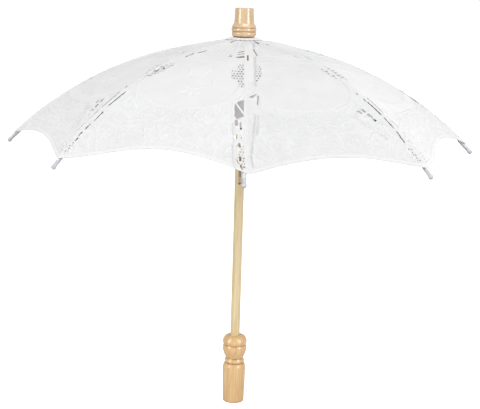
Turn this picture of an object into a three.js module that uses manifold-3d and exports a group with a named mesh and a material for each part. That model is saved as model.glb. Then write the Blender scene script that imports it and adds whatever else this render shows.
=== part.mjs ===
// Lace parasol, open: a wooden shaft with a turned handle and finial, a crown and a sliding
// runner, eight curved metal ribs, eight stretchers and a cloth canopy of eight gores.
// Millimetres, +Z up. The origin is the centre of the handle's flat foot, on the shaft's axis.
// The ribs stand at multiples of 45 degrees, and rib 0 points along -Y.

import * as THREE from "three";
import { mergeVertices } from "three/addons/utils/BufferGeometryUtils.js";
import Module from "manifold-3d";

const wasm = await Module();
wasm.setup();

// Driving dimensions.
const RIBS = 8;
const TOP = 400; // height of the finial's flat end
const SHAFT_R = 4.75;
const FIT = 0.3; // clearance between fixed wooden pieces
const SLIDE_FIT = 0.4; // clearance of the runner on the shaft
const HANDLE_TOP = 70;
const SHAFT_FOOT = 25; // the shaft goes this far down into the handle
const SHAFT_HEAD = 384; // and this far up into the finial
const FINIAL_FOOT = 372.5;

// Rib frame: a rib is a circular arc in its radial plane, from its eye on the crown's wire.
const EYE_R = 11; // radius of the rings of wire that carry the rib and stretcher eyes
const EYE_Z = 366.5;
const ARC_R = 335;
const ARC_START = THREE.MathUtils.degToRad(4); // slope of the rib at its eye, below level
const RIB_LENGTH = 247.5; // along the arc, to the end of the tip
const PIVOT_AT = 90; // arc length from the eye to the stretcher's rivet
const RIB_WIDTH = 1.6; // across the radial plane
const RIB_DEPTH = 2.4;
const TIP_LENGTH = 14;
const TIP_R = 2;

// Canopy: each gore is two half gores that meet at a ridge midway between two ribs.
const CLOTH_START = 9; // arc length from the eye
const CORNER_AT = 236; // arc length at which the hem's corner is sewn to the rib
const HEM_RISE = 7; // how far the hem's middle sits up the gore from its corners
const HEM_PUFF = 4.5; // how far the cloth swells outwards at the hem's middle
const CLOTH_INSIDE = 2.1; // height of the cloth over the rib's centre line
const CLOTH_THICKNESS = 0.9;
const SEAM_GAP = 0.2; // from each edge of a half gore to the plane that it ends at

const WIRE_R = 0.45;
const NOTCH_FLOOR = 8.6; // radius at which a notch in the crown or the runner begins
const NOTCH_WIDTH = 2.5;
const NOTCHED_R = 14; // outer radius of the crown and of the runner's flange
const CROWN_FOOT = 350;
const CROWN_SKIRT_R = 9.2;
const CROWN_TOP = 370.2;
const PIN_R = 0.8;
const RUNNER_FOOT = 284;
const RUNNER_R = 8;
const FLANGE_UP = 4; // from the runner's wire up to the flange's top
const FLANGE_DOWN = 6;

const ANCHOR_Z = 228; // height of the hole that the catch spring's lower end is held in
const ANCHOR_R = 1.15;
const CATCH_SLOT = { foot: 234.5, head: 288, width: 2, back: 2.4 };
const CATCH_WIRE_R = 0.55;

const PAINT = {
  lacqueredWood: { color: 0xe1c191, roughness: 0.35, metalness: 0 },
  paleWood: { color: 0xe5cfa0, roughness: 0.55, metalness: 0 },
  tanWood: { color: 0xe9ca9b, roughness: 0.45, metalness: 0 },
  darkSteel: { color: 0x4a4b4e, roughness: 0.4, metalness: 0.9 },
  brightSteel: { color: 0xb9bbbf, roughness: 0.3, metalness: 0.9 },
  greyPlastic: { color: 0xc9c4c5, roughness: 0.5, metalness: 0 },
  whiteLace: { color: 0xf2f2f3, roughness: 0.85, metalness: 0 },
};

const parasol = new THREE.Group();
parasol.name = "lace_parasol";

function add(name, geometry, paint, parent = parasol) {
  const mesh = new THREE.Mesh(geometry, new THREE.MeshStandardMaterial(PAINT[paint]));
  mesh.name = name;
  parent.add(mesh);
  return mesh;
}

// ---- Solids: joining and cutting closed geometries ----

function toSolid(geometry) {
  const bare = geometry.clone();
  bare.deleteAttribute("normal");
  bare.deleteAttribute("uv");
  const merged = mergeVertices(bare, 1e-4);
  return new wasm.Manifold(
    new wasm.Mesh({
      numProp: 3,
      vertProperties: new Float32Array(merged.attributes.position.array),
      triVerts: new Uint32Array(merged.index.array),
    }),
  );
}

function toGeometry(solid) {
  const { vertProperties, triVerts } = solid.getMesh();
  const geometry = new THREE.BufferGeometry();
  geometry.setAttribute("position", new THREE.BufferAttribute(new Float32Array(vertProperties), 3));
  geometry.setIndex(new THREE.BufferAttribute(new Uint32Array(triVerts), 1));
  geometry.computeVertexNormals();
  return geometry;
}

function cut(base, ...tools) {
  return toGeometry(tools.reduce((left, tool) => left.subtract(toSolid(tool)), toSolid(base)));
}

function join(...pieces) {
  return toGeometry(pieces.map(toSolid).reduce((sum, piece) => sum.add(piece)));
}

// ---- Basic shapes, all about the Z axis unless they say otherwise ----

// A body of revolution from [radius, height] pairs that run counter-clockwise in the r-z plane.
function turned(profile, segments) {
  const points = profile.map(([r, z]) => new THREE.Vector2(r, z));
  return new THREE.LatheGeometry(points, segments).rotateX(Math.PI / 2);
}

function tube(inner, outer, foot, head, segments) {
  const ends = [[inner, head], [inner, foot], [outer, foot], [outer, head], [inner, head]];
  return turned(ends, segments);
}

function rod(radius, foot, head, segments) {
  return turned([[0, foot], [radius, foot], [radius, head], [0, head]], segments);
}

// A rod lying along X, centred on the YZ point given.
function crossRod(radius, length, y, z, segments) {
  return new THREE.CylinderGeometry(radius, radius, length, segments)
    .rotateZ(Math.PI / 2)
    .translate(0, y, z);
}

function ring(radius, wire, z) {
  return new THREE.TorusGeometry(radius, wire, 6, 30).translate(0, 0, z);
}

// An outline in a radial plane, drawn as (distance from the axis, height), given a width across
// that plane. It is placed in the plane of rib 0, which points along -Y.
function radialPlate(outline, width) {
  const flat = new THREE.ExtrudeGeometry(outline, { depth: width, bevelEnabled: false });
  const place = new THREE.Matrix4().makeBasis(
    new THREE.Vector3(0, -1, 0),
    new THREE.Vector3(0, 0, 1),
    new THREE.Vector3(-1, 0, 0),
  );
  return flat.translate(0, 0, -width / 2).applyMatrix4(place);
}

function ribTurn(k) {
  return (k * 2 * Math.PI) / RIBS;
}

// ---- The rib's arc ----

// The point at an arc length along the rib and a height over its centre line, as (r, z).
function onRib(arc, over = 0) {
  const slope = ARC_START + arc / ARC_R;
  const r = EYE_R + ARC_R * (Math.sin(slope) - Math.sin(ARC_START)) + over * Math.sin(slope);
  const z = EYE_Z - ARC_R * (Math.cos(ARC_START) - Math.cos(slope)) + over * Math.cos(slope);
  return new THREE.Vector2(r, z);
}

const RIVET = onRib(PIVOT_AT);
// Stretcher and rib form an isosceles triangle, so the lower eye mirrors the upper one.
const RUNNER_EYE_Z = 2 * RIVET.y - EYE_Z;

// ---- Handle, shaft and finial ----

function makeHandle() {
  const bore = SHAFT_R + FIT;
  return turned(
    [
      [0, 0], [10.2, 0], [10.8, 0.5], [11.0, 8], [11.35, 22], [11.55, 34], [11.45, 37.5],
      [10.9, 39.6], [9.9, 40.8], [9.4, 41.4], [9.95, 42.4], [10.1, 43.6], [9.4, 45.2],
      [9.05, 46.2], [9.4, 47.6], [10.5, 50], [11.6, 53], [12.1, 56], [12.0, 58.6],
      [11.5, 60.5], [12.1, 62], [12.3, 64.2], [11.7, 66.6], [10.2, 68.9], [8.2, HANDLE_TOP],
      [bore, HANDLE_TOP], [bore, SHAFT_FOOT - FIT], [0, SHAFT_FOOT - FIT],
    ],
    24,
  );
}

// A slot for the catch spring runs up the front of the shaft, over the spring's anchor hole.
function makeShaft() {
  const { foot, head, width, back } = CATCH_SLOT;
  const length = SHAFT_R + 1 + back;
  const slot = new THREE.BoxGeometry(width, length, head - foot)
    .translate(0, back - length / 2, (head + foot) / 2);
  const anchor = new THREE.CylinderGeometry(ANCHOR_R, ANCHOR_R, SHAFT_R, 12)
    .translate(0, -SHAFT_R / 2 - 1, ANCHOR_Z);
  const pinHole = crownPinRod(PIN_R + FIT, 4 * SHAFT_R);
  return cut(rod(SHAFT_R, SHAFT_FOOT, SHAFT_HEAD, 32), slot, anchor, pinHole);
}

function makeFinial() {
  const bore = SHAFT_R + FIT;
  const boreTop = SHAFT_HEAD + FIT;
  return turned(
    [
      [bore, FINIAL_FOOT], [10.4, FINIAL_FOOT], [11.5, 373.6], [12.0, 375.2], [11.9, 376.8],
      [11.4, 377.5], [11.95, 378.2], [12.1, 379.4], [11.9, 380.5], [11.4, 381.1], [11.7, 382.0],
      [11.0, 383.6], [9.9, 385.2], [9.5, 387.5], [9.25, 392], [9.0, 398.4], [8.4, TOP],
      [0, TOP], [0, boreTop], [bore, boreTop], [bore, FINIAL_FOOT],
    ],
    24,
  );
}

// ---- Crown, with its wire and pin ----

function notches(foot, head) {
  const length = NOTCHED_R + 2 - NOTCH_FLOOR;
  return Array.from({ length: RIBS }, (_, k) =>
    new THREE.BoxGeometry(NOTCH_WIDTH, length, head - foot)
      .translate(0, -NOTCH_FLOOR - length / 2, (head + foot) / 2)
      .rotateZ(ribTurn(k)),
  );
}

// The groove that a ring of wire lies in, open at the rim.
function wireGroove(z) {
  const half = WIRE_R + FIT;
  return tube(EYE_R - half, NOTCHED_R + 2, z - half, z + half, 32);
}

// The pin goes through the crown's skirt and the shaft, between two notches.
function crownPinRod(radius, length) {
  return crossRod(radius, length, 0, CROWN_FOOT + 4, 12).rotateZ(ribTurn(0.5));
}

function makeCrown() {
  const bore = SHAFT_R + FIT;
  const blank = turned(
    [
      [bore, CROWN_FOOT], [CROWN_SKIRT_R - 0.8, CROWN_FOOT], [CROWN_SKIRT_R, CROWN_FOOT + 1],
      [CROWN_SKIRT_R, CROWN_FOOT + 7.5], [12.6, CROWN_FOOT + 11], [NOTCHED_R, CROWN_FOOT + 12.6],
      [NOTCHED_R, CROWN_TOP - 0.8], [13.2, CROWN_TOP], [bore, CROWN_TOP], [bore, CROWN_FOOT],
    ],
    32,
  );
  return cut(
    blank,
    ...notches(CROWN_FOOT - 1, CROWN_TOP + 1),
    wireGroove(EYE_Z),
    crownPinRod(PIN_R + FIT, 3 * NOTCHED_R),
  );
}

// The closed centre of the canopy, gathered round the shaft between crown and finial.
function makeCanopyCap() {
  const inner = SHAFT_R + FIT + 0.2;
  return turned(
    [
      [inner, 371.1], [12, 371.0], [21, 369.4], [21.2, 370.1], [12, 371.9], [inner, 372.1],
      [inner, 371.1],
    ],
    24,
  );
}

// ---- Runner, with its wire, and the catch spring that it rests on ----

function makeRunner() {
  const bore = SHAFT_R + SLIDE_FIT;
  const flangeFoot = RUNNER_EYE_Z - FLANGE_DOWN;
  const flangeTop = RUNNER_EYE_Z + FLANGE_UP;
  const blank = turned(
    [
      [bore, RUNNER_FOOT], [7.4, RUNNER_FOOT], [RUNNER_R, RUNNER_FOOT + 0.8],
      [RUNNER_R, RUNNER_FOOT + 2.4], [7.2, RUNNER_FOOT + 3.4], [7.2, flangeFoot - 6],
      [RUNNER_R, flangeFoot - 2.5], [12.8, flangeFoot], [NOTCHED_R, flangeFoot + 1.2],
      [NOTCHED_R, flangeTop - 0.8], [13.2, flangeTop], [bore, flangeTop], [bore, RUNNER_FOOT],
    ],
    32,
  );
  return cut(
    blank,
    ...notches(flangeFoot - 4, flangeTop + 1),
    wireGroove(RUNNER_EYE_Z),
  );
}

function makeCatchSpring() {
  const path = new THREE.CatmullRomCurve3(
    [
      [-2.2, ANCHOR_Z], [-4.8, ANCHOR_Z], [-5.6, ANCHOR_Z + 1.6], [-5.5, ANCHOR_Z + 7],
      [-4.0, 243], [-4.2, 258], [-7.2, 277], [-7.4, 279.8], [-6.4, 281.1], [-3.1, 281.2],
    ].map(([y, z]) => new THREE.Vector3(0, y, z)),
    false,
    "centripetal",
  );
  const section = new THREE.Shape().absarc(0, 0, CATCH_WIRE_R, 0, 2 * Math.PI);
  return new THREE.ExtrudeGeometry(section, {
    extrudePath: path,
    steps: 30,
    curveSegments: 3,
    bevelEnabled: false,
  });
}

// ---- Ribs, tips, stretchers and rivets, each made in the plane of rib 0 ----

function eyeRod(radius, width, at) {
  return crossRod(radius, width, -at.x, at.y, 10);
}

// A strip that follows the rib's arc, from one arc length to another.
function ribStrip(from, to, depth, width, steps) {
  const outline = new THREE.Shape();
  const at = (i) => from + ((to - from) * i) / steps;
  const upper = Array.from({ length: steps + 1 }, (_, i) => onRib(at(i), depth / 2));
  const lower = Array.from({ length: steps + 1 }, (_, i) => onRib(at(i), -depth / 2));
  outline.setFromPoints([...upper, ...lower.reverse()]);
  return radialPlate(outline, width);
}

function makeRib() {
  const shoulder = RIB_LENGTH - TIP_LENGTH - FIT;
  const blank = join(
    ribStrip(1, shoulder, RIB_DEPTH, RIB_WIDTH, 13),
    ribStrip(shoulder - 4, RIB_LENGTH - 4, 1.4, 1.4, 1),
    eyeRod(1.7, RIB_WIDTH, onRib(0)),
    eyeRod(1.5, RIB_WIDTH, RIVET),
  );
  return cut(blank, eyeRod(WIRE_R + FIT, 4, onRib(0)), eyeRod(0.75, 4, RIVET));
}

// A turned cap with a ball end, bored for the rib's tenon.
function makeTip() {
  const from = onRib(RIB_LENGTH - TIP_LENGTH);
  const to = onRib(RIB_LENGTH);
  const length = from.distanceTo(to);
  const cap = turned(
    [
      [1.3, 0], [1.75, 0], [1.85, 0.4], [1.6, length - 4.2], [TIP_R, length - 2.6],
      [TIP_R, length - 1.2], [1.3, length - 0.3], [0, length], [0, length - 3.4],
      [1.3, length - 3.6], [1.3, 0],
    ],
    10,
  );
  const lean = Math.atan2(to.x - from.x, to.y - from.y);
  return cap.rotateX(lean).translate(0, -from.x, from.y);
}

const STRETCHER_DEPTH = 2;
const FORK_CHEEK = 0.7;
const FORK_GAP = RIB_WIDTH + 2 * FIT;
const FORK_WIDTH = FORK_GAP + 2 * FORK_CHEEK;
const FORK_LENGTH = 11;
const OPEN_END = 4.2; // the lower end stops this far from the runner's wire

// A straight strip whose forked upper end holds the rib's sides on the rivet.
function makeStretcher() {
  const low = new THREE.Vector2(EYE_R, RUNNER_EYE_Z);
  const along = RIVET.clone().sub(low).normalize();
  const across = new THREE.Vector2(-along.y, along.x);
  const plate = (from, to, depth, width) => {
    const corner = (distance, side) =>
      low.clone().addScaledVector(along, distance).addScaledVector(across, (side * depth) / 2);
    const outline = new THREE.Shape();
    outline.setFromPoints([corner(from, -1), corner(to, -1), corner(to, 1), corner(from, 1)]);
    return radialPlate(outline, width);
  };
  const length = RIVET.distanceTo(low);
  const blank = join(
    plate(OPEN_END, length - FORK_LENGTH + 1, STRETCHER_DEPTH, RIB_WIDTH),
    plate(length - FORK_LENGTH, length, 2.6, FORK_WIDTH),
    eyeRod(1.5, FORK_WIDTH, RIVET),
  );
  return cut(
    blank,
    plate(length - FORK_LENGTH + 2, length + 4, 6, FORK_GAP),
    eyeRod(0.75, 2 * FORK_WIDTH, RIVET),
  );
}

function makeRivet() {
  const half = FORK_WIDTH / 2 + 0.15;
  const profile = [
    [0, -half - 0.5], [0.8, -half - 0.5], [1.1, -half - 0.2], [1.1, -half], [0.5, -half],
    [0.5, half], [1.1, half], [1.1, half + 0.2], [0.8, half + 0.5], [0, half + 0.5],
  ];
  return turned(profile, 8).rotateY(Math.PI / 2).translate(0, -RIVET.x, RIVET.y);
}

// ---- Canopy cloth ----

// The cloth over one gore: an arc length along the ribs, a share of the way from this rib (0) to
// the next (1), and a height over the ribs' centre line. Points on neighbouring ribs are joined
// by straight threads, which swell outwards a little towards the hem.
function onGore(arc, share, over) {
  const { x: r, y: z } = onRib(arc, over);
  const here = new THREE.Vector3(0, -r, z);
  const next = new THREE.Vector3(r * Math.sin(ribTurn(1)), -r * Math.cos(ribTurn(1)), z);
  const swell = HEM_PUFF * 4 * share * (1 - share) * (arc / RIB_LENGTH) ** 2;
  return here.lerp(next, share).add(new THREE.Vector3(0, 0, swell));
}

// The closed solid of the half gore between rib 0 and the ridge on its +X side.
function makeHalfGore() {
  const rows = 10;
  const columns = 3;
  const layer = (over) => {
    const points = [];
    for (let row = 0; row <= rows; row += 1) {
      for (let column = 0; column <= columns; column += 1) {
        const share = column / columns / 2;
        const hem = CORNER_AT - HEM_RISE * 4 * share * (1 - share);
        const arc = CLOTH_START + (hem - CLOTH_START) * (row / rows);
        const point = onGore(arc, share, over);
        const width = point.length() * Math.sin(ribTurn(0.5));
        const squeeze = Math.min(SEAM_GAP, width / 4);
        if (column === 0) point.x += squeeze;
        if (column === columns) {
          point.x -= squeeze * Math.cos(ribTurn(0.5));
          point.y -= squeeze * Math.sin(ribTurn(0.5));
        }
        points.push(point);
      }
    }
    return points;
  };
  return closedSheet(layer(CLOTH_INSIDE), layer(CLOTH_INSIDE + CLOTH_THICKNESS), rows, columns);
}

// Joins an inner and an outer layer of (rows + 1) x (columns + 1) points into one closed solid.
function closedSheet(inner, outer, rows, columns) {
  const points = [...inner, ...outer];
  const shift = inner.length;
  const at = (row, column) => row * (columns + 1) + column;
  const faces = [];
  const quad = (a, b, c, d) => faces.push(a, b, c, a, c, d);
  for (let row = 0; row < rows; row += 1) {
    for (let column = 0; column < columns; column += 1) {
      const corners = [
        at(row, column), at(row + 1, column), at(row + 1, column + 1), at(row, column + 1),
      ];
      const [a, b, c, d] = corners;
      quad(a + shift, b + shift, c + shift, d + shift);
      quad(d, c, b, a);
    }
    quad(at(row, 0), at(row + 1, 0), at(row + 1, 0) + shift, at(row, 0) + shift);
    const [e, f] = [at(row, columns), at(row + 1, columns)];
    quad(f, e, e + shift, f + shift);
  }
  for (let column = 0; column < columns; column += 1) {
    quad(at(0, column + 1), at(0, column), at(0, column) + shift, at(0, column + 1) + shift);
    const [g, h] = [at(rows, column), at(rows, column + 1)];
    quad(g, h, h + shift, g + shift);
  }
  const geometry = new THREE.BufferGeometry().setFromPoints(points);
  geometry.setIndex(faces);
  geometry.computeVertexNormals();
  return geometry;
}

// The same half gore on the rib's other side.
function mirrored(geometry) {
  const other = geometry.clone().scale(-1, 1, 1);
  const index = other.index.array;
  for (let i = 0; i < index.length; i += 3) {
    [index[i + 1], index[i + 2]] = [index[i + 2], index[i + 1]];
  }
  other.computeVertexNormals();
  return other;
}

// ---- Assembly ----

add("handle", makeHandle(), "lacqueredWood");
add("shaft", makeShaft(), "paleWood");
add("finial", makeFinial(), "tanWood");
add("crown", makeCrown(), "tanWood");
add("crown_wire", ring(EYE_R, WIRE_R, EYE_Z), "brightSteel");
add("crown_pin", crownPinRod(PIN_R, 2 * CROWN_SKIRT_R - 1), "brightSteel");
add("canopy_cap", makeCanopyCap(), "whiteLace");
add("catch_spring", makeCatchSpring(), "brightSteel");
add("runner", makeRunner(), "greyPlastic");
add("runner_wire", ring(EYE_R, WIRE_R, RUNNER_EYE_Z), "brightSteel");

const rib = makeRib();
const tip = makeTip();
const stretcher = makeStretcher();
const rivet = makeRivet();
const goreAhead = makeHalfGore();
const goreBehind = mirrored(goreAhead);

for (let k = 0; k < RIBS; k += 1) {
  const station = new THREE.Group();
  station.rotation.z = ribTurn(k);
  parasol.add(station);
  add(`rib_${k}`, rib, "darkSteel", station);
  add(`rib_tip_${k}`, tip, "brightSteel", station);
  add(`stretcher_${k}`, stretcher, "darkSteel", station);
  add(`rivet_${k}`, rivet, "brightSteel", station);
  add(`gore_${k}_ahead`, goreAhead, "whiteLace", station);
  add(`gore_${k}_behind`, goreBehind, "whiteLace", station);
}

export default parasol;
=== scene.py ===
"""Lace parasol, open: tape lace canopy, turned wood, steel ribs, on a pale studio floor."""

from math import cos, pi, radians, sin

import bpy
import numpy as np
from mathutils import Matrix, Vector


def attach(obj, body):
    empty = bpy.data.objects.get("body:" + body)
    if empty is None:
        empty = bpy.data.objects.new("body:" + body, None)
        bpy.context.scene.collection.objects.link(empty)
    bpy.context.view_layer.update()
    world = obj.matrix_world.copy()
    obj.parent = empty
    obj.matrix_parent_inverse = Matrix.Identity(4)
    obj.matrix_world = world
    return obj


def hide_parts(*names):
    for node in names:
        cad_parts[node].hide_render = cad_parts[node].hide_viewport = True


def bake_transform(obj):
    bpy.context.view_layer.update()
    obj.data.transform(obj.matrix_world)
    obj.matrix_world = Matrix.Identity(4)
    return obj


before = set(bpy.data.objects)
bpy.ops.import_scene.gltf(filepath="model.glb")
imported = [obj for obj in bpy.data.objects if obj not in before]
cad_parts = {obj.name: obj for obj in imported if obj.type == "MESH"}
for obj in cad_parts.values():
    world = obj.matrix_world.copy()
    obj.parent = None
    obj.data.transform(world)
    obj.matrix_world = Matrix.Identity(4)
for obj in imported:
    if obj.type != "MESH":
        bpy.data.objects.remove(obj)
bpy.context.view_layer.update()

MM = 0.001  # the shapes below are worked out in millimetres
RIBS = 8
TURN = 2 * pi / RIBS

# The ribs' frame, as in the CAD model.
EYE_R = 11.0  # radius of the two rings of wire that the ribs and the stretchers hang on
EYE_Z = 366.5
ARC_R = 335.0
ARC_START = radians(4)
RIB_LENGTH = 247.5
PIVOT_AT = 90.0  # arc from a rib's eye to its stretcher's rivet
TIP_LENGTH = 14.0
TIP_SLEEVE = 4.0  # the cap reaches this much further up the rib than its CAD solid

# The wooden handle and finial are bored for the shaft.
BORE_R = 5.05

# The cloth of one gore. An arc is a length along the ribs from their eyes. The hem's arcs are
# evenly spaced from the left rib to the right one, for gores with an odd or an even number.
CLOTH_START = 4.8
CORNER_AT = 236.0
HEM_ODD = [237.5, 237, 233.8, 229.5, 225.8, 223.6, 223.2, 224.4, 227, 230.5, 236.5]
HEM_EVEN = [236.5, 234.8, 232.2, 230, 228.6, 228, 228.4, 229.8, 232.4, 235.3, 237.5]
HEM_PUFF = 4.5  # height of the gore's middle over the line between its ribs, at the hem
CORNER_LEAN = 5.0  # how far the front corner hangs to the right of its rib
CLOTH_OVER = 2.35  # height of the cloth's middle over the ribs' centre lines
CLOTH_HALF = 0.19  # half the cloth's thickness
GRID = 0.65  # spacing of the grid that the lace is drawn on
REACH = 3.0  # distances to the edge of an opening or a tape are measured this far out

# Tapes on the gore: one along the hem, one in a swag above the worked border, three across.
HEM_TAPE_UP = 2.4  # the tape's middle, above the hem
HEM_TAPE_HALF = 2.6
SWAG_LOW = 169.0  # arc at the gore's middle
SWAG_RISE = 58.0
SWAG_HALF = 1.5
LOWER_SWAG = 181.0  # arc of a second, flatter swag at the gore's middle
CROSS_TAPES = (65, 72, 84)

# Light: the surround and the floor show brighter than they shine on the object.
WORLD_LIGHT = 0.5
WORLD_SEEN = 1.05
FLOOR_GLOW = 0.15
LIT_HEIGHT = 0.22  # metres: the softboxes face this point of the axis


# ---- Small helpers ----


def srgb(red, green, blue):
    """A colour given as 0 to 255 display values, as linear RGBA."""
    share = [c / 255 for c in (red, green, blue)]
    return (*[c / 12.92 if c <= 0.04045 else ((c + 0.055) / 1.055) ** 2.4 for c in share], 1.0)


def smooth_line(points, steps=6):
    """A Catmull-Rom curve through the points, as an array."""
    p = np.array(points, float)
    padded = np.vstack([2 * p[0] - p[1], p, 2 * p[-1] - p[-2]])
    t = np.linspace(0, 1, steps, endpoint=False)[:, None]
    runs = []
    for a, b, c, d in zip(padded, padded[1:], padded[2:], padded[3:]):
        runs.append(
            0.5 * (2 * b + (c - a) * t + (2 * a - 5 * b + 4 * c - d) * t**2
                   + (3 * b - a - 3 * c + d) * t**3)
        )
    return np.vstack([*runs, p[-1:]])


def about_z(points, angle):
    """The points turned about the Z axis."""
    c, s = cos(angle), sin(angle)
    x, y, z = np.moveaxis(np.asarray(points, float), -1, 0)
    return np.stack([c * x - s * y, s * x + c * y, z], axis=-1)


def rib_point(arc, over=0.0):
    """Distance from the axis and height of a point along the rib, over its centre line."""
    slope = ARC_START + np.asarray(arc, float) / ARC_R
    r = EYE_R + ARC_R * (np.sin(slope) - sin(ARC_START)) + over * np.sin(slope)
    z = EYE_Z - ARC_R * (cos(ARC_START) - np.cos(slope)) + over * np.cos(slope)
    return r, z


def in_rib_plane(r, z, across=0.0):
    """A point of rib 0's plane, which points along -Y."""
    return np.stack(np.broadcast_arrays(across, -np.asarray(r), z), axis=-1)


RIVET_R, RIVET_Z = (float(value) for value in rib_point(PIVOT_AT))
RUNNER_EYE_Z = 2 * RIVET_Z - EYE_Z


def make_object(name, points, faces, material, smooth_angle=40):
    """A mesh object from points in millimetres and groups of faces with equal corner counts."""
    mesh = bpy.data.meshes.new(name)
    counts = np.concatenate([np.full(len(group), group.shape[1]) for group in faces])
    corners = np.concatenate([group.ravel() for group in faces])
    mesh.vertices.add(len(points))
    mesh.vertices.foreach_set("co", (np.asarray(points) * MM).astype(np.float32).ravel())
    mesh.loops.add(len(corners))
    mesh.loops.foreach_set("vertex_index", corners.astype(np.int32))
    mesh.polygons.add(len(counts))
    starts = np.concatenate([[0], np.cumsum(counts)[:-1]])
    mesh.polygons.foreach_set("loop_start", starts.astype(np.int32))
    mesh.update(calc_edges=True)
    mesh.materials.append(material)
    soften(mesh, smooth_angle)
    made = bpy.data.objects.new(name, mesh)
    bpy.context.scene.collection.objects.link(made)
    return made


def soften(mesh, angle):
    """Shades a mesh smooth, except across edges sharper than the angle in degrees."""
    mesh.shade_smooth()
    mesh.set_sharp_from_angle(angle=radians(angle))


def add_attribute(made, name, values):
    """A number at each point of a mesh, for its material to read."""
    layer = made.data.attributes.new(name, "FLOAT", "POINT")
    layer.data.foreach_set("value", np.asarray(values, np.float32))


# ---- Materials ----


class Paint:
    """A material under construction: each call adds a node and returns its output."""

    def __init__(self, name):
        self.material = bpy.data.materials.new(name)
        self.material.use_nodes = True
        self.tree = self.material.node_tree
        self.shader = self.tree.nodes["Principled BSDF"]
        self.place = self.add("ShaderNodeTexCoord").outputs["Object"]

    def add(self, kind, inputs=(), **settings):
        node = self.tree.nodes.new(kind)
        for key, value in settings.items():
            setattr(node, key, value)
        for key, value in dict(inputs).items():
            self.put(node.inputs[key], value)
        return node

    def put(self, socket, value):
        if isinstance(value, bpy.types.NodeSocket):
            self.tree.links.new(value, socket)
        else:
            socket.default_value = value

    def set(self, **values):
        for key, value in values.items():
            self.put(self.shader.inputs[key.replace("_", " ")], value)

    def stretched(self, x, y, z):
        return self.add(
            "ShaderNodeMapping", {"Vector": self.place, "Scale": (x, y, z)}
        ).outputs[0]

    def noise(self, scale, detail=3.0, roughness=0.5, vector=None, distortion=0.0):
        return self.add(
            "ShaderNodeTexNoise",
            {
                "Vector": vector or self.place, "Scale": scale, "Detail": detail,
                "Roughness": roughness, "Distortion": distortion,
            },
        ).outputs["Fac"]

    def math(self, operation, a, b=0.0, c=0.0):
        node = self.add("ShaderNodeMath", operation=operation)
        for socket, value in zip(node.inputs, (a, b, c)):
            self.put(socket, value)
        return node.outputs[0]

    def range(self, value, low, high, to_low=0.0, to_high=1.0):
        return self.add(
            "ShaderNodeMapRange",
            {
                "Value": value, "From Min": low, "From Max": high,
                "To Min": to_low, "To Max": to_high,
            },
            interpolation_type="SMOOTHSTEP",
        ).outputs["Result"]

    def mix(self, share, a, b):
        node = self.add("ShaderNodeMix", data_type="RGBA")
        self.put(node.inputs[0], share)
        self.put(node.inputs[6], a)
        self.put(node.inputs[7], b)
        return node.outputs[2]

    def attribute(self, name):
        return self.add("ShaderNodeAttribute", attribute_name=name).outputs["Fac"]

    def bump(self, height, distance):
        return self.add(
            "ShaderNodeBump", {"Height": height, "Distance": distance, "Strength": 1.0}
        ).outputs[0]


def wood(name, light, dark, pore_and_groove_shade, gloss, pores=0.5):
    """Straight-grained wood with fine pores, and painted shade in the grooves that a turner cuts."""
    p = Paint(name)
    along = p.stretched(1, 1, 0.045)
    grain = p.noise(420, 4, 0.55, along, 0.6)
    streak = p.noise(1700, 2, 0.6, p.stretched(1, 1, 0.02))
    cloud = p.noise(38, 2, 0.5, p.stretched(1, 1, 0.35))
    tone = p.mix(p.range(grain, 0.34, 0.68), light, dark)
    tone = p.mix(p.range(streak, 0.58, 0.74, 0, pores * 0.55), tone, pore_and_groove_shade)
    tone = p.mix(p.range(cloud, 0.35, 0.75, 0, 0.22), tone, dark)
    # Painted shade: the tone darkens at the turned grooves, as far as the groove attribute says.
    tone = p.mix(p.attribute("pore_and_groove_shade"), tone, pore_and_groove_shade)
    p.set(Base_Color=tone)
    p.set(Roughness=p.range(grain, 0.2, 0.8, gloss, gloss + 0.14))
    p.set(Normal=p.bump(p.math("SUBTRACT", grain, p.math("MULTIPLY", streak, 0.7)), 0.00006))
    return p


def lacquered_wood():
    """The handle: amber wood under a satin varnish."""
    # The third colour paints the pores and the painted shade in the grooves.
    p = wood(
        "lacquered_wood", srgb(232, 197, 145), srgb(216, 170, 112), srgb(146, 90, 40), 0.3
    )
    p.set(Coat_Weight=0.7, Coat_Roughness=0.24, Coat_IOR=1.6)
    return p.material


def tan_wood():
    """The finial and the crown: duller in colour than the handle, under a glossier varnish."""
    # The third colour paints the pores and the painted shade in the grooves.
    p = wood("tan_wood", srgb(209, 183, 146), srgb(196, 164, 123), srgb(150, 102, 62), 0.3)
    p.set(Coat_Weight=0.8, Coat_Roughness=0.13, Coat_IOR=1.7)
    return p.material


def pale_wood():
    """The bare shaft: paler, with more pores, and painted shade down in its slot and its hole."""
    light, dark, slot_shade = srgb(228, 209, 168), srgb(213, 190, 144), srgb(104, 70, 42)
    p = wood("pale_wood", light, dark, srgb(176, 140, 92), 0.46, 0.75)
    flat = p.add("ShaderNodeVectorMath", {0: p.place, 1: (1, 1, 0)}, operation="MULTIPLY")
    from_axis = p.add("ShaderNodeVectorMath", {0: flat.outputs[0]}, operation="LENGTH")
    # Painted shade: the wood goes deep brown within 4.5 mm of the axis, down in the slot and the hole.
    inside = p.range(from_axis.outputs["Value"], 0.0045, 0.0036)
    grain_and_shade_tone = p.shader.inputs["Base Color"].links[0].from_socket
    p.set(Base_Color=p.mix(inside, grain_and_shade_tone, slot_shade), Coat_Weight=0.12, Coat_Roughness=0.35)
    return p.material


def steel(name, colour, tarnish, roughness):
    """Drawn steel: fine scratches along its length and faint spots."""
    p = Paint(name)
    scratch = p.noise(2600, 2, 0.6, p.stretched(1, 1, 0.12))
    spots = p.noise(240, 4, 0.6)
    p.set(
        Base_Color=p.mix(p.range(spots, 0.45, 0.72), colour, tarnish),
        Metallic=0.85,
        Roughness=p.range(scratch, 0.3, 0.7, roughness - 0.08, roughness + 0.12),
        Normal=p.bump(scratch, 0.00003),
    )
    return p.material


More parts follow.
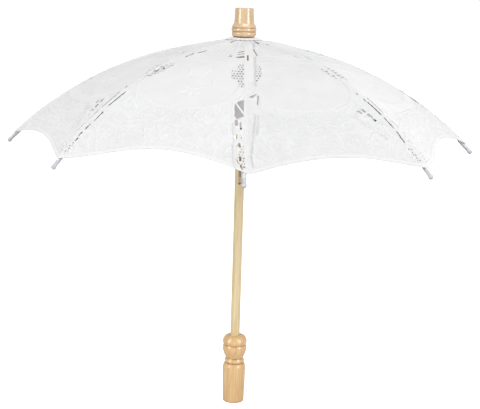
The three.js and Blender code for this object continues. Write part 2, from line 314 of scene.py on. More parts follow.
def grey_plastic():
    """Moulded plastic: a soft sheen and the faint orange-peel of a cheap mould."""
    p = Paint("grey_plastic")
    cloud = p.noise(60, 3)
    p.set(
        Base_Color=p.mix(p.range(cloud, 0.3, 0.7), srgb(238, 232, 234), srgb(228, 222, 224)),
        Roughness=p.range(cloud, 0.3, 0.7, 0.38, 0.5),
        Normal=p.bump(p.noise(900, 3), 0.00005),
    )
    return p.material


def tip_metal():
    """Nickel-plated caps, dulled by handling."""
    p = Paint("tip_metal")
    wear = p.noise(500, 4, 0.6)
    p.set(
        Base_Color=p.mix(p.range(wear, 0.35, 0.7), srgb(192, 191, 197), srgb(170, 169, 176)),
        Metallic=0.12,
        Roughness=p.range(wear, 0.3, 0.7, 0.4, 0.55),
        Normal=p.bump(wear, 0.00004),
    )
    return p.material


def threads(p, uv, direction):
    """The fine ridges of the weave in one direction of its map."""
    return p.add(
        "ShaderNodeTexWave", {"Vector": uv, "Scale": 34.0, "Distortion": 0.8, "Detail": 1.0},
        bands_direction=direction,
    ).outputs["Fac"]


def lace():
    """White cotton. Tape, where lace_edge is below 0, is denser than the batiste beside it, and
    a cord runs along its edges."""
    p = Paint("lace_cotton")
    edge = p.attribute("lace_edge")
    uv = p.add("ShaderNodeUVMap", uv_map="weave").outputs[0]
    tape = p.range(edge, 0.35, -0.35)
    weave = p.math("ADD", threads(p, uv, "X"), threads(p, uv, "Y"))
    slub = p.noise(700, 3, 0.6)
    cord = p.math("MULTIPLY", p.range(edge, -1.15, -0.6), p.range(edge, -0.05, -0.5))
    cloudy = p.range(p.noise(55, 3), 0.3, 0.7)
    batiste = p.mix(cloudy, srgb(227, 227, 228), srgb(231, 231, 232))
    cotton = p.mix(tape, batiste, srgb(234, 234, 234))
    slubs = p.math("MULTIPLY", p.range(slub, 0.5, 0.8), 0.35)
    p.set(
        Base_Color=p.mix(slubs, cotton, srgb(219, 219, 221)), Roughness=0.88,
        Specular_IOR_Level=0.25, Sheen_Weight=0.12, Sheen_Roughness=0.5,
    )
    height = p.math("ADD", p.math("MULTIPLY", weave, 0.18), p.math("MULTIPLY", slub, 0.25))
    height = p.math("ADD", height, cord)
    normal = p.bump(height, 0.00025)
    p.set(Normal=normal)
    glow = p.add("ShaderNodeBsdfTranslucent", {"Color": srgb(238, 238, 238), "Normal": normal})
    mixed = p.add("ShaderNodeMixShader", {0: 0.12, 1: p.shader.outputs[0], 2: glow.outputs[0]})
    output = p.tree.nodes["Material Output"]
    p.tree.links.new(mixed.outputs[0], output.inputs["Surface"])
    return p.material


MATERIALS = {
    "lacquered_wood": lacquered_wood(),
    "tan_wood": tan_wood(),
    "pale_wood": pale_wood(),
    "dark_steel": steel("dark_steel", srgb(84, 86, 90), srgb(52, 50, 50), 0.38),
    "bright_steel": steel("bright_steel", srgb(214, 196, 190), srgb(168, 146, 138), 0.34),
    "grey_plastic": grey_plastic(),
    "tip_metal": tip_metal(),
    "lace_cloth": lace(),
}


# ---- Turned pieces ----


def outline(*runs):
    """Runs of [radius, height] points, each a smooth curve, with a corner between runs."""
    return np.vstack([smooth_line(run, 1 if len(run) == 2 else 5)[:-1] for run in runs]
                     + [np.array(runs[-1][-1:], float)])


def turned(name, profile, material, segments, grooves=(), place=None):
    """A body of revolution about Z. Its profile closes on itself, or starts and ends on the axis.
    grooves are the heights at which painted shade darkens its material."""
    angles = np.arange(segments) * 2 * pi / segments
    body = profile[1:-1] if profile[0][0] == 0 else profile
    r, z = body[:, 0, None], body[:, 1, None]
    points = np.stack([r * np.cos(angles), r * np.sin(angles), z + 0 * angles], -1)
    rows = len(body)
    index = np.arange(rows * segments).reshape(rows, segments)
    nxt = np.roll(index, -1, 1)
    quads = np.stack([index[:-1], nxt[:-1], nxt[1:], index[1:]], -1).reshape(-1, 4)
    points = points.reshape(-1, 3)
    faces = [quads]
    if profile[0][0] == 0:
        ends = np.array([[0, 0, profile[0][1]], [0, 0, profile[-1][1]]])
        low, high = len(points), len(points) + 1
        points = np.vstack([points, ends])
        faces.append(np.stack([nxt[0], index[0], np.full(segments, low)], -1))
        faces.append(np.stack([index[-1], nxt[-1], np.full(segments, high)], -1))
    # Painted shade: the material darkens near each groove's height.
    shade = sum(np.exp(-(((points[:, 2] - z0) / 0.55) ** 2)) for z0 in grooves)
    made = make_object(name, points if place is None else place(points), faces, material)
    add_attribute(made, "pore_and_groove_shade", np.clip(shade + np.zeros(len(points)), 0, 1) * 0.75)
    return made


def finish_piece(made, body, slot, *nodes):
    """Gives a piece its body, and hides the CAD nodes that it stands for. The slot is not used."""
    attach(made, body)
    if nodes:
        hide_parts(*nodes)


def build_handle():
    """Barrel, neck ring, bulb and bead, from the flat foot upwards."""
    top, bore_foot = 70, 24.7
    profile = outline(
        [[0, 0], [10.1, 0]],
        [[10.1, 0], [10.6, 0.15], [10.8, 0.6]],
        [[10.8, 0.6], [11.0, 8], [11.35, 22], [11.55, 33], [11.45, 37.3], [10.9, 39.5],
         [9.9, 40.8], [9.35, 41.4]],
        [[9.35, 41.4], [9.95, 42.3], [10.1, 43.5], [9.5, 45.2], [9.0, 46.2]],
        [[9.0, 46.2], [9.4, 47.6], [10.5, 50], [11.6, 53], [12.1, 56], [12.0, 58.6],
         [11.4, 60.5]],
        [[11.4, 60.5], [12.1, 62], [12.3, 64.2], [11.7, 66.6], [10.2, 68.9], [8.2, top]],
        [[8.2, top], [BORE_R, top]],
        [[BORE_R, top], [BORE_R, bore_foot]],
        [[BORE_R, bore_foot], [0, bore_foot]],
    )
    grooves = (0.2, 41.4, 46.2, 60.5)
    made = turned("turned_handle", profile, MATERIALS["lacquered_wood"], 96, grooves)
    finish_piece(made, "stick", "lacquered_wood", "handle")


def build_finial():
    """Two rings and a slightly waisted top, from the foot upwards."""
    foot, bore_top, top = 372.5, 384.3, 400
    profile = outline(
        [[BORE_R, foot], [10.4, foot]],
        [[10.4, foot], [11.4, 373.3], [12.0, 375.2], [11.9, 376.6], [11.3, 377.5]],
        [[11.3, 377.5], [11.9, 378.2], [12.1, 379.3], [11.9, 380.4], [11.3, 381.1]],
        [[11.3, 381.1], [11.7, 382.0], [11.0, 383.6], [9.9, 385.2]],
        [[9.9, 385.2], [9.5, 387.5], [9.25, 392], [9.0, 398.4]],
        [[9.0, 398.4], [8.9, 399.4], [8.3, top]],
        [[8.3, top], [0.01, top]],
        [[0.01, top], [0.01, bore_top]],
        [[0.01, bore_top], [BORE_R, bore_top]],
        [[BORE_R, bore_top], [BORE_R, foot]],
    )
    made = turned("turned_finial", profile, MATERIALS["tan_wood"], 96, (372.6, 377.5, 381.1))
    finish_piece(made, "stick", "tan_wood", "finial")


def build_tip(k):
    """The cap on a rib's end, lying along the chord of the rib's last stretch."""
    start = Vector(in_rib_plane(*rib_point(RIB_LENGTH - TIP_LENGTH - TIP_SLEEVE)))
    end = Vector(in_rib_plane(*rib_point(RIB_LENGTH)))
    length = (end - start).length
    lean = (end - start).to_track_quat("Z", "Y").to_matrix()
    profile = outline(
        [[1.3, 3], [1.3, 0], [1.85, 0]],
        [[1.85, 0], [2.0, 0.3], [1.9, 0.9]],
        [[1.9, 0.9], [1.88, 8], [1.75, length - 5], [1.8, length - 4.2]],
        [[1.8, length - 4.2], [2.15, length - 3.2], [2.25, length - 1.9], [1.8, length - 0.7],
         [0.8, length - 0.1], [0.01, length]],
        [[0.01, length], [0.01, length - 3.4]],
        [[0.01, length - 3.4], [1.3, length - 3.6], [1.3, 3]],
    )

    def place(points):
        stood = points @ np.array(lean).T + np.array(start)
        return about_z(stood, k * TURN)

    made = turned(f"cap_{k}", profile, MATERIALS["tip_metal"], 24, (), place)
    finish_piece(made, f"rib_{k}", "tip_metal", f"rib_tip_{k}")


# ---- Lace: distances on the gore's flat pattern, x across from its middle, v along the arc ----


def gore_width(v):
    """Distance between a gore's two ribs, straight across, at an arc."""
    return 2 * rib_point(v, CLOTH_OVER)[0] * sin(TURN / 2)


def hem_at(x, v, hem):
    """The arc at which the hem lies, for a point's share of the way between the ribs."""
    shares = np.linspace(0, 1, 6 * (len(hem) - 1) + 1)
    return np.interp(x / gore_width(v) + 0.5, shares, smooth_line([(arc, 0) for arc in hem])[:, 0])


def swag_at(x, v):
    """The arc of the swag, the tape that bounds the plain cloth above the worked border."""
    return SWAG_LOW - SWAG_RISE * np.abs(2 * x / gore_width(v)) ** 3.7


def to_line(x, v, line, reach):
    """Distance to an open line of points, or reach where the line is further off than that."""
    line = np.asarray(line)
    nearest = np.full(np.shape(x), float(reach))
    low, high = line.min(0) - reach, line.max(0) + reach
    near = (x > low[0]) & (x < high[0]) & (v > low[1]) & (v < high[1])
    if not near.any():
        return nearest
    nx, nv, best = x[near], v[near], nearest[near]
    for (x0, v0), (x1, v1) in zip(line, line[1:]):
        dx, dv = x1 - x0, v1 - v0
        t = np.clip(((nx - x0) * dx + (nv - v0) * dv) / (dx * dx + dv * dv + 1e-12), 0, 1)
        best = np.minimum(best, np.hypot(nx - x0 - t * dx, nv - v0 - t * dv))
    nearest[near] = best
    return nearest


def to_patch(x, v, line):
    """Signed distance to the edge of a closed outline, negative inside."""
    inside = np.zeros(np.shape(x), bool)
    closed = np.vstack([line, line[:1]])
    for (x0, v0), (x1, v1) in zip(closed, closed[1:]):
        if v0 != v1:
            inside ^= ((v0 > v) != (v1 > v)) & (x < x0 + (v - v0) * (x1 - x0) / (v1 - v0))
    edge = to_line(x, v, closed, REACH)
    return np.where(inside, -edge, edge)


def beside(side, points, steps=0):
    """Pattern points at (distance, arc) from the left (-1) or right (+1) rib, smoothed if asked."""
    e, v = np.array(points, float).T
    placed = np.stack([side * (gore_width(v) / 2 - e), v], -1)
    return smooth_line(placed, steps) if steps else placed


def leaf_outline(x0, v0, angle, length, width):
    """A pointed leaf about a centre, its axis turned by the angle in degrees from level."""
    t = np.linspace(0, pi, 9)
    half = np.stack([np.cos(t) * length / 2, np.sin(t) ** 1.25 * width / 2], -1)
    closed = np.vstack([half, half[-2:0:-1] * [1, -1]])
    c, s = cos(radians(angle)), sin(radians(angle))
    return closed @ np.array([[c, s], [-s, c]]) + [x0, v0]


def circle(x0, v0, radius, steps=20):
    """A closed circle about a centre."""
    t = np.linspace(0, 2 * pi, steps + 1)
    return np.stack([x0 + radius * np.cos(t), v0 + radius * np.sin(t)], -1)


class Pattern:
    """What one gore's lace is made of, on solid batiste."""

    def __init__(self, hem):
        self.hem = hem  # arcs of the hem, evenly spaced from the left rib to the right one
        self.rib_tape = {}  # half the width of the tape along the left (-1) and right (+1) rib
        self.tapes = []  # (line, half width)
        self.cords = []  # (line, half width, height) raised embroidery
        self.opens = []  # closed outlines cut out and left open
        self.slits = []  # (line, half width) cut from everything
        self.grooves = []  # (line, half width, depth) creases
        self.panels = []  # (side, outline, spacing, hole radii): rows of holes

    def tape_edge(self, x, v):
        """Signed distance to the edge of the nearest tape, negative on it."""
        edge = np.abs(v - hem_at(x, v, self.hem) + HEM_TAPE_UP) - HEM_TAPE_HALF
        edge = np.minimum(edge, np.abs(v - swag_at(x, v)) * 0.8 - SWAG_HALF)
        for side, half in self.rib_tape.items():
            edge = np.minimum(edge, gore_width(v) / 2 - side * x - half)
        for line, half in self.tapes:
            edge = np.minimum(edge, to_line(x, v, line, half + REACH) - half)
        return edge

    def holes(self, x, v):
        """Positive inside the rows of small holes."""
        found = np.full(np.shape(x), -REACH)
        for side, outline, (across, along), (half_across, half_along) in self.panels:
            inside = -to_patch(x, v, outline)
            e = gore_width(v) / 2 - side * x
            row = np.round(v / along)
            off = e / across + 0.5 * (row % 2)
            away = np.hypot(
                (off - np.round(off)) * across / half_across, (v - row * along) / half_along
            )
            found = np.maximum(found, np.minimum(inside, (1 - away) * half_across))
        return found

    def cloth_edge(self, x, v):
        """Signed distance to the edge of the cloth, negative where there is cloth."""
        cloth = self.holes(x, v)
        for line in self.opens:
            cloth = np.maximum(cloth, -to_patch(x, v, line))
        cloth = np.minimum(cloth, self.tape_edge(x, v))
        for line, half in self.slits:
            cloth = np.maximum(cloth, half - to_line(x, v, line, half + REACH))
        return cloth


# The openwork beside each kind of rib side, in (distance from the rib, arc along it). Slits and
# straps are (points, half width). Each panel is an outline, a spacing and the holes' radii. The
# front rib has "near" on its left and "slim" on its right, and the ribs beside it have "far" and
# "swag" on the sides that face it.
NET = (2.9, 4.6), (0.95, 1.55)
LATTICE = (2.6, 3.1), (0.75, 0.85)
RIB_SIDES = {
    "far": {
        "tape": 2.0,
        "slits": [([(5.9, 9), (7.7, 18)], 1.3), ([(10.0, 52), (9.0, 62.5)], 0.8),
                  ([(6.9, 64.5), (6.7, 75)], 0.9), ([(6.2, 103), (9.5, 106)], 0.7),
                  ([(4.6, 108), (5.0, 113)], 0.6), ([(3.9, 149.5), (3.4, 170.5)], 0.75),
                  ([(4.5, 180), (4.8, 192)], 0.65), ([(4.2, 197), (4.0, 203)], 0.65),
                  ([(3.2, 207), (3.4, 211)], 0.8), ([(4.0, 214), (4.0, 217)], 0.7)],
        "opens": [],
        "creases": [[(3.4, 20), (3.0, 48)]],
        "panels": [([(2, 94), (8, 91), (13, 99), (13, 111), (8, 122), (2, 126)], *NET),
                   ([(2, 219), (7, 217), (10, 226), (9, 234), (2, 236)], *LATTICE)],
        "straps": [([(2, 132), (8, 137), (13.5, 150), (13, 164), (9, 174), (2, 180)], 1.3)],
    },
    "near": {
        "tape": 0.95,
        "slits": [([(3.0, 30), (1.0, 33)], 0.5), ([(5.6, 54.5), (0.9, 50)], 1.3),
                  ([(6.0, 61), (0.9, 57)], 1.2), ([(6.4, 69.5), (0.9, 66)], 2.2),
                  ([(13.9, 67), (13.9, 71)], 1.5), ([(7.6, 178.5), (7.4, 183.5)], 1.4),
                  ([(3.8, 180), (3.3, 188)], 0.8), ([(7.5, 196.5), (7.5, 200)], 1.1),
                  ([(4.8, 205), (4.2, 209)], 0.95), ([(4.7, 219), (4.7, 223)], 0.8),
                  ([(7.6, 223), (7.2, 226)], 0.7), ([(5.0, 228), (4.6, 232)], 0.9)],
        "opens": [[(0.9, 149), (4, 150.5), (9.3, 156), (9.3, 173), (7, 176.5), (0.9, 172)],
                  [(0.9, 194.5), (3.4, 195), (3.4, 200.5), (0.9, 201)]],
        "creases": [[(11, 182), (10, 200), (11, 216), (10.5, 230)]],
        "panels": [([(0.8, 84), (6.6, 84), (7.4, 98), (13, 98), (13, 117), (7.4, 119),
                     (5.8, 132), (0.8, 132)], *NET),
                   ([(0.8, 203), (7.4, 202), (8, 220), (7.6, 233), (0.8, 236)], *LATTICE)],
        "straps": [([(8.6, 154.5), (0.5, 169)], 0.75), ([(10.4, 154), (5, 149.5), (0.6, 139)], 1.1),
                   ([(10.4, 153), (10.7, 165), (10.2, 176), (5.5, 178), (0.6, 174)], 1.0)],
    },
    "slim": {
        "tape": 2.4,
        "slits": [([(9.4, 43), (12.6, 62.5)], 0.75), ([(3.3, 62), (3.2, 77)], 0.8),
                  ([(5.8, 145.2), (8.0, 143.6)], 1.4), ([(8.0, 143.4), (10.6, 141.6)], 0.7),
                  ([(12.6, 145), (11.7, 157)], 0.75)],
        "opens": [],
        "creases": [[(9.4, 20), (9.6, 40)], [(9.6, 64), (9.6, 128)], [(9, 171), (7.4, 196), (5.8, 214)],
                    [(4.9, 218), (5.1, 229)], [(12, 172), (10.6, 196)]],
        "panels": [([(11.4, 88), (14.5, 88), (17, 98), (16, 112), (12.5, 121), (10.5, 121)], *NET)],
        "straps": [([(4.6, 20), (4.6, 118)], 4.4),
                   ([(2, 137), (9, 137.5), (15.5, 143), (16, 156), (13, 167), (2, 172)], 1.2)],
    },
    "swag": {
        "tape": 2.0,
        "slits": [([(4.6, 8.5), (6.6, 18)], 1.3), ([(3.3, 22), (2.4, 26)], 0.6),
                  ([(2.8, 31), (2.8, 37)], 0.5), ([(8.6, 63), (6.0, 69)], 0.7),
                  ([(3.4, 141), (3.4, 143)], 0.8), ([(3.4, 150.5), (3.4, 153)], 0.8),
                  ([(2.6, 155), (2.4, 173)], 0.8), ([(2.7, 177.5), (2.6, 191)], 0.6),
                  ([(3.2, 196), (4.6, 209)], 0.7), ([(5.2, 216), (5.4, 219)], 0.7)],
        "opens": [[(20.5, 164), (15.5, 166.5), (12.7, 181.5), (16.5, 184)],
                  [(26, 170.5), (21.5, 168.5), (20, 176)], [(12, 186), (8.5, 188), (10, 190.5)]],
        "creases": [[(2.6, 30), (3.0, 58)], [(31, 178), (22, 192), (14, 203)],
                    [(37, 176), (28, 191), (20, 205)]],
        "panels": [([(2, 97), (6, 96), (7.5, 106), (5.5, 117), (2, 121)], *NET),
                   ([(2, 216), (7, 214), (9.5, 226), (8, 234), (2, 236)], *LATTICE)],
        "straps": [([(29, 171), (17, 161), (5, 157)], 1.1), ([(29, 172), (15, 187), (4, 193)], 1.1),
                   ([(20, 162), (17.5, 186)], 0.8), ([(24, 175), (12, 180), (4, 182)], 0.8)],
    },
}

# The border's motifs: x, arc and size. Leaves have an angle, a length and a width.
WHEELS = [(2, 205, 12), (-50, 208, 9), (47, 209, 8.5), (-25, 190, 5.5), (30, 190, 5)]
LEAVES = [(-25, 209, -28, 33, 13), (27, 206, 34, 32, 13), (-68, 215, 62, 25, 9),
          (67, 215, -60, 25, 9), (-42, 190, 24, 21, 8), (46, 191, -18, 21, 8),
          (-66, 196, -35, 18, 7), (66, 195, 35, 18, 7), (8, 187, 12, 17, 6), (-12, 188, -20, 15, 6)]
SCROLLS = [[(-14, 194), (-15, 202), (-10, 216), (-17, 226)], [(15, 194), (14, 202), (19, 214), (13, 226)],
           [(-58, 190), (-61, 202), (-55, 218), (-60, 228)], [(57, 189), (60, 201), (54, 219), (59, 229)],
           [(-40, 200), (-37, 212), (-42, 222), (-34, 228)], [(38, 199), (36, 212), (40, 222), (34, 228)]]
FLOWER = (5, 140)
SPRAY = (-47, 152)  # the head of a fan of raised bars under one end of the swag


def add_rib_side(p, side, kind):
    """One kind of rib side, along a gore's left (-1) or right (+1) rib."""
    work = RIB_SIDES[kind]
    p.rib_tape[side] = work["tape"]
    p.slits += [(beside(side, line), half) for line, half in work["slits"]]
    p.opens += [beside(side, line) for line in work["opens"]]
    p.grooves += [(beside(side, line), 1.3, 1.1) for line in work["creases"]]
    p.tapes += [(beside(side, line, 4), half) for line, half in work["straps"]]
    for line, spacing, radii in work["panels"]:
        p.panels.append((side, beside(side, line), spacing, radii))
        p.cords.append((beside(side, [*line, line[0]]), 0.9, 0.25))


def add_border(p, flip):
    """Wheels, veined leaves and scrolls between the swag and the hem."""
    for x, v, radius in WHEELS:
        x *= flip
        p.tapes.append((circle(x, v, radius), 1.0))
        p.cords.append((circle(x, v, radius * 0.3, 10), 1.2, 0.5))
        for turn in np.arange(8) * TURN:
            ray = np.array([0.35, 0.95])[:, None] * [cos(turn), sin(turn)] * radius
            p.cords.append((ray + [x, v], 0.7, 0.4))
    for x, v, angle, length, width in LEAVES:
        x, angle = x * flip, angle * flip
        line = leaf_outline(x, v, angle, length, width)
        p.tapes.append((np.vstack([line, line[:1]]), 1.0))
        axis = np.array([cos(radians(angle)), sin(radians(angle))])
        out = np.array([-axis[1], axis[0]])
        p.cords.append((np.array([x, v]) + np.array([[-0.45], [0.45]]) * length * axis, 0.8, 0.45))
        for along in np.arange(-length / 2 + 4, length / 2 - 3, 2.9):
            reach = width / 2 * max(0.0, 1 - (2 * along / length) ** 2)
            root = np.array([x, v]) + along * axis
            for lean in (-1, 1):
                p.cords.append((np.array([root, root + lean * reach * out + 1.5 * axis]), 0.7, 0.4))
    for points in SCROLLS:
        p.tapes.append((smooth_line([(x * flip, v) for x, v in points]), 1.0))
    turn = np.linspace(0.5, 3.6 * pi, 26)
    curl = np.stack([flip * 28 + 0.62 * turn * np.cos(turn), 178 + 0.62 * turn * np.sin(turn)], -1)
    p.cords.append((curl, 1.0, 0.55))


def add_embroidery(p, flip):
    """A flower, a few small leaves and a fan of bars on the plain cloth."""
    x0, v0 = FLOWER
    for turn in (35, 85, 145, 215, 325):
        c, s = cos(radians(turn)), sin(radians(turn))
        petal = [(flip * (x0 + c * far), v0 + s * far * 0.9) for far in (2, 6, 10)]
        p.cords.append((np.array(petal), 1.5, 0.6))
    for points in ([(-14, 104), (-9, 107), (-6, 112), (-8, 117)], [(6, 100), (10, 106), (8, 112)],
                   [(-3, 92), (2, 96), (6, 95)], [(16, 120), (21, 124), (22, 130)]):
        p.cords.append((smooth_line([(x * flip, v) for x, v in points]), 1.3, 0.5))
    x0, v0 = SPRAY
    for i, turn in enumerate((20, 34, 48, 62, 76)):
        c, s = cos(radians(turn)), sin(radians(turn))
        bar = [(flip * (x0 + c * far), v0 + s * far) for far in (5 + i, 34 - 2 * i)]
        p.cords.append((np.array(bar), 1.1, 0.45))


def build_pattern(left, right, flip, hem):
    """The lace of one gore, with a kind of rib side at its left and its right."""
    p = Pattern(hem)
    add_rib_side(p, -1, left)
    add_rib_side(p, 1, right)
    for v in CROSS_TAPES:
        reach = float(gore_width(v)) / 2
        p.tapes.append((np.array([(-reach, v), (reach, v)]), 1.0))
    shares = np.linspace(-0.8, 0.8, 33)
    reach = float(gore_width(LOWER_SWAG)) / 2
    low = np.stack([shares * reach, LOWER_SWAG - 26 * np.abs(shares) ** 3.2], -1)
    p.tapes.append((low, 1.1))
    for x, v in low[1:-1]:
        p.cords.append((np.array([(x, v), (x * 0.98 + 1.5, v - 11.5)]), 0.6, 0.3))
    add_border(p, flip)
    add_embroidery(p, flip)
    return p


# ---- Lace: from the flat pattern to cloth ----


def march(values, xs, vs):
    """The part of a grid where values are below 0: its points (x, v) and groups of faces."""
    inside = values < 0
    rows, columns = inside.shape
    points = []
    count = 0

    def number(mask, x, v):
        nonlocal count
        ids = np.full(mask.shape, -1)
        ids[mask] = np.arange(count, count + mask.sum())
        count += int(mask.sum())
        points.append(np.stack([x[mask], v[mask]], -1))
        return ids

    x, v = np.meshgrid(xs, vs)
    nodes = number(inside, x, v)
    a, b = values[:, :-1], values[:, 1:]
    t = np.clip(a / np.where(a == b, 1, a - b), 0.02, 0.98)
    level = number(inside[:, :-1] != inside[:, 1:], x[:, :-1] + t * GRID, v[:, :-1])
    a, b = values[:-1], values[1:]
    t = np.clip(a / np.where(a == b, 1, a - b), 0.02, 0.98)
    upright = number(inside[:-1] != inside[1:], x[:-1], v[:-1] + t * GRID)

    corner = [nodes[:-1, :-1], nodes[:-1, 1:], nodes[1:, 1:], nodes[1:, :-1]]
    edge = [level[:-1], upright[:, 1:], level[1:], upright[:, :-1]]
    case = sum((c >= 0).astype(int) << k for k, c in enumerate(corner))
    faces = {}
    for kind in range(1, 16):
        cells = case == kind
        if not cells.any():
            continue
        walk = []
        for k in range(4):
            here, following = kind >> k & 1, kind >> (k + 1) % 4 & 1
            if here:
                walk.append(corner[k][cells])
            if here != following:
                walk.append(edge[k][cells])
        faces.setdefault(len(walk), []).append(np.stack(walk[::-1], -1))
    return np.vstack(points), [np.vstack(group) for group in faces.values()]


def rim(faces, count):
    """The directed edges that only one face uses."""
    edges = np.vstack([np.stack([group, np.roll(group, -1, 1)], -1).reshape(-1, 2)
                       for group in faces])
    forward = edges[:, 0] * count + edges[:, 1]
    backward = edges[:, 1] * count + edges[:, 0]
    return edges[~np.isin(forward, backward)]


def cloth_relief(p, x, v, edge):
    """How far the cloth stands out: gathers at the top, slack folds, raised tape, embroidery."""
    share = x / gore_width(v) + 0.5
    near = np.minimum(share, 1 - share) * gore_width(v)
    gathers = 0.35 * np.sin(2 * pi * share * 9) * np.clip(1 - v / 62, 0, 1) ** 0.6
    lift = 0.9 * np.clip(1 - v / 45, 0, 1)
    slack = np.sin(pi * share) * (
        0.5 * np.sin(v / 17 + 4 * share) + 0.35 * np.sin(v / 9 - 9 * share + 1)
    )
    worked = np.clip((v - swag_at(x, v)) / 12, 0, 1)
    crinkle = worked * (
        0.2 * np.sin(1.05 * x + 2 * np.sin(0.45 * v)) * np.sin(1.0 * v + 2 * np.sin(0.5 * x))
        + 0.14 * np.sin(1.7 * x - 3 * np.sin(0.6 * v)) * np.sin(1.6 * v + 3 * np.sin(0.7 * x))
    )
    tape = 0.24 * np.clip(0.5 - edge / 0.9, 0, 1) * np.clip(near / 3 - 0.4, 0, 1)
    raised = 0
    for line, half, height in p.cords:
        far = to_line(x, v, line, 2 * half) / (half * 1.4)
        raised = np.maximum(raised, height * np.clip(1 - far**2, 0, 1))
    sunk = 0
    for line, half, depth in p.grooves:
        far = to_line(x, v, line, 2 * half) / half
        sunk = np.maximum(sunk, depth * np.clip(1 - far**2, 0, 1))
    return gathers * np.clip(near / 3, 0, 1) + lift + slack + crinkle + tape + raised - sunk


def gore_point(x, v, over):
    """The place in space of a pattern point, in the gore from rib 0 to rib 1."""
    share = x / gore_width(v) + 0.5
    r, z = rib_point(v, over)
    here = in_rib_plane(r, z)
    following = about_z(here, TURN)
    swell = HEM_PUFF * 4 * share * (1 - share) * (v / RIB_LENGTH) ** 2
    place = here + (following - here) * share[:, None]
    place[:, 2] += swell
    return place


def build_half_gore(p, side):
    """A half gore's points, faces, flat places and distances to a tape's edge, at the gore from
    rib 0 to rib 1. side is -1 for the half beside rib 0 and +1 for the half beside rib 1."""
    reach = float(gore_width(CORNER_AT)) / 2
    xs = np.arange(int(reach / GRID) + 3) * GRID
    xs = -xs[::-1] if side < 0 else xs
    vs = np.arange(CLOTH_START - GRID, max(p.hem) + 2 * GRID, GRID)
    x, v = np.meshgrid(xs, vs)
    bound = np.maximum(np.abs(x) - gore_width(v) / 2, v - hem_at(x, v, p.hem))
    bound = np.maximum(bound, CLOTH_START - v)
    flat, faces = march(np.maximum(bound, p.cloth_edge(x, v)), xs, vs)
    edge = p.tape_edge(flat[:, 0], flat[:, 1])
    relief = cloth_relief(p, flat[:, 0], flat[:, 1], edge)
    outer = gore_point(flat[:, 0], flat[:, 1], CLOTH_OVER + relief + CLOTH_HALF)
    inner = gore_point(flat[:, 0], flat[:, 1], CLOTH_OVER + relief * 0.75 - CLOTH_HALF)
    count = len(flat)
    border = rim(faces, count)
    walls = np.stack([border[:, 1], border[:, 0], border[:, 0] + count, border[:, 1] + count], -1)
    groups = [*faces, *[group[:, ::-1] + count for group in faces], walls]
    return np.vstack([outer, inner]), groups, np.vstack([flat, flat]), np.tile(edge, 2)


def add_weave_map(made, flat):
    """A UV map in centimetres of the flat pattern."""
    corners = np.zeros(len(made.data.loops), np.int32)
    made.data.loops.foreach_get("vertex_index", corners)
    layer = made.data.uv_layers.new(name="weave")
    layer.data.foreach_set("uv", (flat[corners] / 10).astype(np.float32).ravel())


def lean_corner(points, arcs):
    """The canopy's front corner hangs a little to the right of its rib's tip."""
    low = np.clip((arcs - 205) / 33, 0, 1) ** 2
    near = np.clip(1 - np.abs(points[:, 0]) / 40, 0, 1) ** 2
    return points + np.stack([CORNER_LEAN * low * near, 0 * low, 0 * low], -1)


def build_canopy():
    """Sixteen half gores, each from its rib to the middle of its gore, in place of the CAD gores."""
    even = build_pattern("slim", "swag", -1, HEM_EVEN)
    odd = build_pattern("far", "near", 1, HEM_ODD)
    halves = {(i, side): build_half_gore(p, side) for i, p in enumerate((even, odd)) for side in (-1, 1)}
    for k in range(RIBS):
        for side, rib, word in ((-1, k, "ahead"), (1, (k + 1) % RIBS, "behind")):
            points, groups, flat, edge = halves[(k % 2, side)]
            placed = about_z(points, k * TURN)
            if rib == 0:
                placed = lean_corner(placed, flat[:, 1])
            made = make_object(f"lace_{rib}_{word}", placed, groups, MATERIALS["lace_cloth"], 50)
            add_attribute(made, "lace_edge", edge)
            add_weave_map(made, flat)
            start = about_z(in_rib_plane(*rib_point(PIVOT_AT)), rib * TURN) * MM
            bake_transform(made)
            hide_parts(f"gore_{rib}_{word}")


def build_cap():
    """The gathered middle of the canopy, pinched between the crown and the finial."""
    profile = smooth_line(
        [(5.3, 371.6), (9, 371.6), (13, 371.4), (14.8, 371.0), (16.4, 370.4), (17.6, 370.0)], 3
    )
    segments = 192
    angles = np.arange(segments) * 2 * pi / segments
    layers = []
    for over in (0.2, -0.2):
        for r, z in profile:
            pleat = 0.25 * np.sin(angles * 24) * min(1, (r - 5) / 5)
            layers.append(np.stack([r * np.cos(angles), r * np.sin(angles), z + pleat + over], -1))
    count = len(profile)
    loop = [*range(count), *range(2 * count - 1, count - 1, -1)]
    points = np.vstack([layers[i] for i in loop])
    index = np.arange(len(points)).reshape(len(loop), segments)
    under = np.roll(index, -1, 0)
    quads = np.stack([index, under, np.roll(under, -1, 1), np.roll(index, -1, 1)], -1)
    made = make_object("lace_cap", points, [quads.reshape(-1, 4)], MATERIALS["lace_cloth"], 50)
    add_attribute(made, "lace_edge", np.full(len(points), -2.0))
    add_weave_map(made, points[:, :2])
    finish_piece(made, "stick", "lace_cloth", "canopy_cap")


def build_ties(k):
    """Threads sewn round a rib: three ties along it and the winding at the hem's corner."""
    runs = []
    pitch, high, wide, thread = 0.62, 1.75, 1.45, 0.3
    for arc, turns in ((70, 3), (132, 3), (186, 3), (234.5, 7)):
        t = np.arange(turns * 10 + 1) / 10
        r, z = rib_point(arc + t * pitch)
        slope = ARC_START + arc / ARC_R
        lift = high * np.cos(2 * pi * t) + 0.15
        across = wide * np.sin(2 * pi * t)
        points = in_rib_plane(r + lift * sin(slope), z + lift * cos(slope), across)
        runs.append(about_z(points, k * TURN))
    points, faces = round_wires(runs, thread, 6)
    made = make_object(f"ties_{k}", points, [faces], MATERIALS["lace_cloth"])
    add_attribute(made, "lace_edge", np.full(len(points), -3.0))
    finish_piece(made, f"rib_{k}", "lace_cloth")


